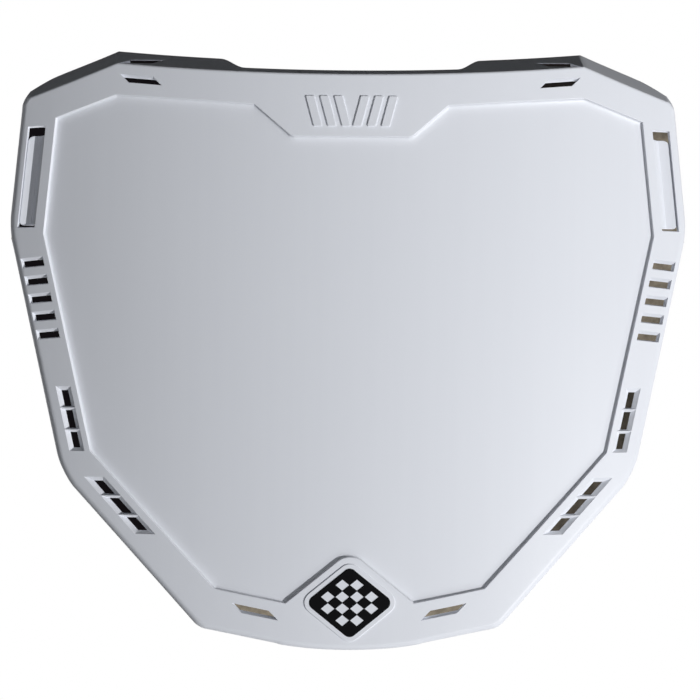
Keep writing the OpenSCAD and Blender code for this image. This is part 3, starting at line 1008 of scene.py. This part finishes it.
def paintedGroundSheet():
    # one sheet close behind the border, and deeper pads behind the strap windows and ear slots, all carrying
    # painted shadow and painted sunlit ground for the camera only
    depth, inset = ground["depth"], ground["inset"]
    window, slot = ground["windowPad"], ground["slotPad"]
    lowZ, highZ = window["from"], window["to"]
    sides = [(n, c + (outline["topDraft"] if i == 0 else outline["sideDraft"]) * depth - inset)
             for i, (n, c) in enumerate(rightLines)]
    rise = outline["topDraft"] * depth - inset

    def wallX(z):
        n, c = sides[1]
        return (c - n.y * z) / n.x

    right = [(x, topEdge(x) + rise) for x in (0.0, 15.0, 30.0, 45.0, 60.0, 75.0, cornerX)]
    right += [crossing(*sides[0], *sides[1]), (wallX(highZ), highZ), (window["sheetX"], highZ),
              (window["sheetX"], lowZ), (wallX(lowZ), lowZ)]
    right += [crossing(*sides[2], *sides[3]), crossing(*sides[3], *sides[4]), ground["tip"]]
    points = right + [(-x, z) for x, z in reversed(right[1:-1])]
    sheet = flatShape("painted_ground_sheet", points[::-1], depth)
    cutAt(sheet, evenPlaces(outline["ringPitch"], 25), (1, 0, 0))
    pads = []
    for side in (1, -1):
        pad = [(window["padX"], lowZ), (wallX(lowZ), lowZ), (wallX(highZ), highZ), (window["padX"], highZ)]
        pads.append(deepPad([(side * x, z) for x, z in pad[::side]],
                            lambda co: bendDepth(wallX(co.z) - inset) + depth))
        x = side * openings["topSlot"]["x"]
        high = topEdge(x) + outline["topDraft"] * slot["depth"] - slot["gap"]
        low = high - slot["height"]
        a, b = x - side * slot["inwards"], x + side * slot["outwards"]
        pads.append(deepPad([(a, low), (b, low), (b, high), (a, high)],
                            lambda co: bendDepth(x) + slot["depth"]))
    joinInto(sheet, pads)
    bendAndPlace(sheet)
    hideFrom(sheet, ("diffuse", "glossy", "transmission", "volume_scatter", "shadow"))
    return sheet


giveMaterial(paintedGroundSheet(), paintedGroundMaterial())

surroundings = {"air": (0.92, 0.95, 1.0, 1), "airStrength": 0.04, "seen": (1, 1, 1, 1), "seenStrength": 1.0}


def studioWorld():
    # a faint bluish air lights the board, and the camera and gloss see plain white
    world = bpy.data.worlds.new("studio_air")
    world.use_nodes = True
    nodes, links = world.node_tree.nodes, world.node_tree.links
    nodes.clear()
    air = addNode(nodes, "Background",
                  {"Color": surroundings["air"], "Strength": surroundings["airStrength"]})
    seen = addNode(nodes, "Background",
                   {"Color": surroundings["seen"], "Strength": surroundings["seenStrength"]})
    mixShaders(nodes, links, paleRays(nodes, links), air, seen, addNode(nodes, "OutputWorld"))
    return world


bpy.context.scene.world = studioWorld()

lamps = [
    {"name": "key", "at": (1.78, -1.73, -0.76), "to": (0.0, 0.01, 0.0), "size": 0.05, "power": 240.0,
     "tint": (0.985, 0.992, 1.0), "cone": 14.0, "blend": 0.1},
    {"name": "front_fill", "at": (0.38, -2.15, -0.88), "to": (0.0, 0.01, 0.0), "size": 0.7, "power": 9.0,
     "tint": (0.90, 0.95, 1.0)},
    {"name": "back_fill", "at": (0.3, 1.4, -0.6), "to": (0.0, 0.03, 0.0), "size": 0.5, "power": 18.0,
     "tint": (0.96, 0.98, 1.0)},
]
for lamp in lamps:
    leaveEditMode()
    bpy.ops.object.light_add(type="SPOT" if "cone" in lamp else "AREA", location=lamp["at"])
    light = bpy.context.object
    light.name = lamp["name"]
    if "cone" in lamp:
        light.data.spot_size = math.radians(lamp["cone"])
        light.data.spot_blend = lamp["blend"]
        light.data.shadow_soft_size = lamp["size"] / 2
    else:
        light.data.size = lamp["size"]
    light.data.energy = lamp["power"]
    light.data.color = lamp["tint"]
    light.rotation_euler = (Vector(lamp["to"]) - Vector(lamp["at"])).to_track_quat("-Z", "Y").to_euler()
    light.visible_camera = False
    light.visible_glossy = "cone" in lamp

photoCamera = {"distance": 0.65, "turn": -1.4, "roll": 0.25, "pixelsAcross": 700.0, "focalPixels": 1813.0,
               "sensor": 36.0, "shiftX": -0.001, "clipStart": 0.01}
cameraData = bpy.data.cameras.new("photo_camera")
cameraData.sensor_width = photoCamera["sensor"]
cameraData.lens = photoCamera["focalPixels"] / photoCamera["pixelsAcross"] * photoCamera["sensor"]
cameraData.shift_x = photoCamera["shiftX"]
cameraData.clip_start = photoCamera["clipStart"]
camera = bpy.data.objects.new("photo_camera", cameraData)
bpy.context.scene.collection.objects.link(camera)
turn, roll = math.radians(photoCamera["turn"]), math.radians(photoCamera["roll"])
camera.location = (photoCamera["distance"] * math.sin(turn),
                   -photoCamera["distance"] * math.cos(turn) - panelDepth * toMetres, 0.0)
aim = Matrix.Rotation(turn, 3, "Z") @ Matrix.Rotation(math.radians(90), 3, "X")
camera.rotation_euler = (aim @ Matrix.Rotation(roll, 3, "Z")).to_euler()
bpy.context.scene.camera = camera
bpy.context.scene.view_settings.view_transform = "Standard"
print("studio ready")
